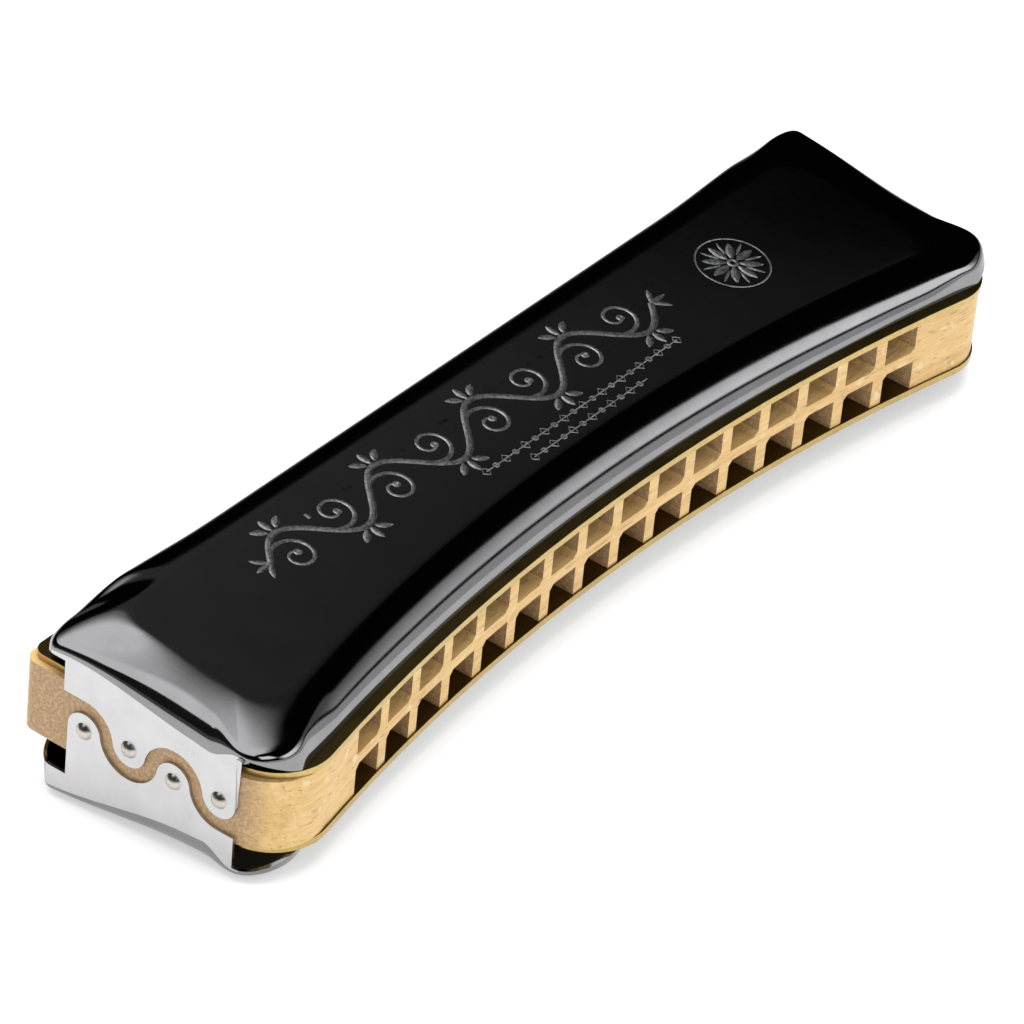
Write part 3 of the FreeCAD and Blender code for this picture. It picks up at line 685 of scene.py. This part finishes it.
def ornament():
    lines = Engraving()
    left, right, middle, half_wave, height = -41.0, 25.0, 15.1, 8.25, 2.9
    count = int((right - left) / half_wave)

    def stem(x):
        return middle + height * math.sin(math.pi * (x - left) / half_wave)

    xs = np.linspace(left, right, 400)
    lines.stroke([(x, stem(x)) for x in xs], 0.85)
    for i in range(count):
        up = 1 if i % 2 == 0 else -1
        x0 = left + (i + 0.10) * half_wave
        slope = math.atan2(stem(x0 + 0.01) - stem(x0 - 0.01), 0.02)
        # a tendril leaves the stem and curls up inside the arch
        p, a, points = np.array((x0, stem(x0))), slope - up * 0.12, []
        length, steps = 13.5, 90
        for k in range(steps):
            points.append(p.copy())
            s = k / steps
            radius = 2.55 * (1 - s) ** 0.75 + 0.42
            p = p + length / steps * np.array((math.cos(a), math.sin(a)))
            a -= up * length / steps / radius
        lines.stroke(points, lambda t: 0.66 - 0.3 * t)
        lines.stroke(ring(*points[-1], 0.28, 12), 0.5)
        # leaves in the hollow on the stem's other side
        crest_x = left + (i + 0.5) * half_wave
        for shift, turn in ((-1.2, 0.9), (0.0, 0.0), (1.2, -0.9)):
            root = (crest_x + shift * 0.6, stem(crest_x) + up * 0.4)
            heading = up * (math.pi / 2) + up * turn * 0.75
            lines.stroke(leaf(root, heading, 2.0, up * turn * 0.5), swell(0.95))
    # the stem's ends
    for x, direction in ((left, math.pi), (right, 0.0)):
        for turn in (-0.7, 0.0, 0.7):
            lines.stroke(leaf((x, middle), direction + turn, 2.4, turn * 0.5), swell(0.7))
    # two fine beaded rules in front of the band
    for y, x0, x1, step in ((9.3, -12.0, 22.0, 1.7), (7.4, -6.0, 14.0, 1.7)):
        lines.stroke([(x, y) for x in np.linspace(x0, x1, 40)], 0.18)
        for k in range(int((x1 - x0) / step) + 1):
            x = x0 + k * step
            if k % 2:
                lines.stroke(ring(x, y, 0.32, 8), 0.24)
            else:
                half, tall = 0.55, 0.62
                lines.stroke([(x - half, y), (x, y + tall), (x + half, y), (x, y - tall), (x - half, y)], 0.2)
    # a rosette at the high end
    cx, cy = 38.0, 13.4
    for k in range(8):
        a = k * math.pi / 4
        lines.stroke(leaf((cx + 0.8 * math.cos(a), cy + 0.8 * math.sin(a)), a, 2.7, 0.0), swell(1.1))
        b = a + math.pi / 8
        lines.stroke(leaf((cx + 1.6 * math.cos(b), cy + 1.6 * math.sin(b)), b, 2.2, 0.0), swell(0.35))
    for radius, width in ((0.5, 0.4), (4.3, 0.24)):
        lines.stroke(ring(cx, cy, radius, 48), width)
    return lines


lines = ornament()
scroll = new_object("top_cover_scrollwork", lines.vertices, lines.faces, (engraved(),))
scroll.data.transform(REST)
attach(scroll, "frame")

# ---------------------------------------------------------------- floor, light and camera

FLOOR_HALF = 4
floor_corners = [(x * FLOOR_HALF, y * FLOOR_HALF, 0) for x, y in ((-1, -1), (1, -1), (1, 1), (-1, 1))]
floor = new_object("studio_floor", floor_corners, [(0, 1, 2, 3)], (pale_floor(),))


def softbox(name, place, size, radiance):
    """A rectangular light that looks at the object. Mirrors see the reflection dome instead."""
    data = bpy.data.lights.new(name, "AREA")
    data.shape = "RECTANGLE"
    data.size, data.size_y = size
    data.energy = radiance * math.pi * size[0] * size[1]
    lamp = bpy.data.objects.new(name, data)
    lamp.location = place
    lamp.rotation_mode = "QUATERNION"
    lamp.rotation_quaternion = (-Vector(place)).to_track_quat("-Z", "Y")
    lamp.visible_glossy = False
    bpy.context.scene.collection.objects.link(lamp)


def window(value, low, high, soft):
    """1 between low and high, falling to 0 over a soft edge."""
    return smooth((value - low) / soft + 0.5) * smooth((high - value) / soft + 0.5)


def studio_glow(azimuth, elevation):
    """What a polished surface sees of the studio, by direction in degrees; azimuth 0 is +X and 90 is +Y."""
    glow = 0.002
    # the pale sweep behind the floor, brighter on the mouth's side
    side = 0.16 + 0.86 * window(azimuth, -115, 2, 30)
    glow += 0.85 * side * window(elevation, -20, 12.5, 2.0)
    # a softbox over the right front, fading towards the high end
    fade = 0.2 + 2.1 * smooth((-22 - azimuth) / 34)
    glow += fade * window(azimuth, -80, -12, 16) * window(elevation, 17.5, 34, 3.0)
    # the dim ceiling that the top reflects, up to a straight edge
    shade = 0.028 + 0.052 * smooth((azimuth - 14) / 18)
    glow += shade * window(azimuth, 13, 60, 4) * window(elevation, 40.9, 52, 0.4)
    # the white overhead scrim
    reach = math.cos(math.radians(elevation))
    across = reach * math.cos(math.radians(azimuth - 24))
    deep = reach * math.sin(math.radians(azimuth - 24))
    bright = 0.26 + 1.6 * smooth((0.60 - across) / 0.24)
    glow += bright * window(across, -0.40, 0.6, 0.05) * window(deep, -0.08, 0.6, 0.10) * (elevation > 20)
    # the dim far wall, in the bend of the low end
    glow += 0.025 * window(azimuth, 110, 178, 10) * window(elevation, 2, 52, 6)
    # a softbox over the front
    glow += 2.2 * window(azimuth, -128, -88, 8) * window(elevation, 34, 62, 6)
    return glow


def reflection_dome():
    """A half sphere of painted light round the studio, seen only in reflections."""
    radius, lowest, columns, rows = 2.2, -4, 360, 90
    vertices, glow = [], []
    for r in range(rows + 1):
        elevation = lowest + (90 - lowest) * r / rows
        for c in range(columns):
            azimuth = -180 + 360 * c / columns
            e, a = math.radians(elevation), math.radians(azimuth)
            vertices.append((radius * math.cos(e) * math.cos(a), radius * math.cos(e) * math.sin(a),
                             radius * math.sin(e)))
            glow.append(studio_glow(azimuth, elevation))
    faces = [(r * columns + c, r * columns + (c + 1) % columns, (r + 1) * columns + (c + 1) % columns,
              (r + 1) * columns + c) for r in range(rows) for c in range(columns)]
    paint = bpy.data.materials.new("dome_glow")
    paint.use_nodes = True
    nodes = paint.node_tree.nodes
    nodes.clear()
    emission = nodes.new("ShaderNodeEmission")
    value = nodes.new("ShaderNodeAttribute")
    value.attribute_name = "glow"
    output = nodes.new("ShaderNodeOutputMaterial")
    paint.node_tree.links.new(value.outputs["Fac"], emission.inputs["Strength"])
    paint.node_tree.links.new(emission.outputs[0], output.inputs["Surface"])
    dome = new_object("studio_dome", vertices, faces, (paint,))
    dome.data.attributes.new("glow", "FLOAT", "POINT").data.foreach_set("value", np.array(glow, np.float32))
    for ray in ("camera", "diffuse", "shadow", "transmission", "volume_scatter"):
        setattr(dome, "visible_" + ray, False)


softbox("light_overhead", (0.18, 0.12, 1.5), (1.35, 1.25), 4.3)
softbox("light_right", (0.80, -0.95, 0.90), (0.6, 0.6), 1.5)
softbox("light_front", (-0.25, -1.35, 0.75), (0.8, 0.7), 1.6)
reflection_dome()

world = bpy.data.worlds.new("studio")
bpy.context.scene.world = world
world.use_nodes = True
world.node_tree.nodes["Background"].inputs["Color"].default_value = (0.9, 0.9, 0.9, 1)
world.node_tree.nodes["Background"].inputs["Strength"].default_value = 1.0
world.cycles_visibility.glossy = False

AZIMUTH, ELEVATION, ROLL = (math.radians(a) for a in (-52.706, 32.916, 0.392))
AIM = Vector((-0.005845, -0.002425, 0.010519))
DISTANCE = 0.72087
back = Vector((math.sin(AZIMUTH) * math.cos(ELEVATION), -math.cos(AZIMUTH) * math.cos(ELEVATION),
               math.sin(ELEVATION)))
across = (-back).cross(Vector((0, 0, 1))).normalized()
above = across.cross(-back)
right = math.cos(ROLL) * across + math.sin(ROLL) * above
up = -math.sin(ROLL) * across + math.cos(ROLL) * above
lens = bpy.data.cameras.new("camera")
lens.lens, lens.sensor_width = 236.09, 36.0
lens.clip_start, lens.clip_end = 0.05, 20.0
camera = bpy.data.objects.new("camera", lens)
turn = Matrix((right, up, back)).transposed().to_4x4()
camera.matrix_world = Matrix.Translation(AIM + back * DISTANCE) @ turn
bpy.context.scene.collection.objects.link(camera)
bpy.context.scene.camera = camera
bpy.context.scene.view_settings.view_transform = "Standard"
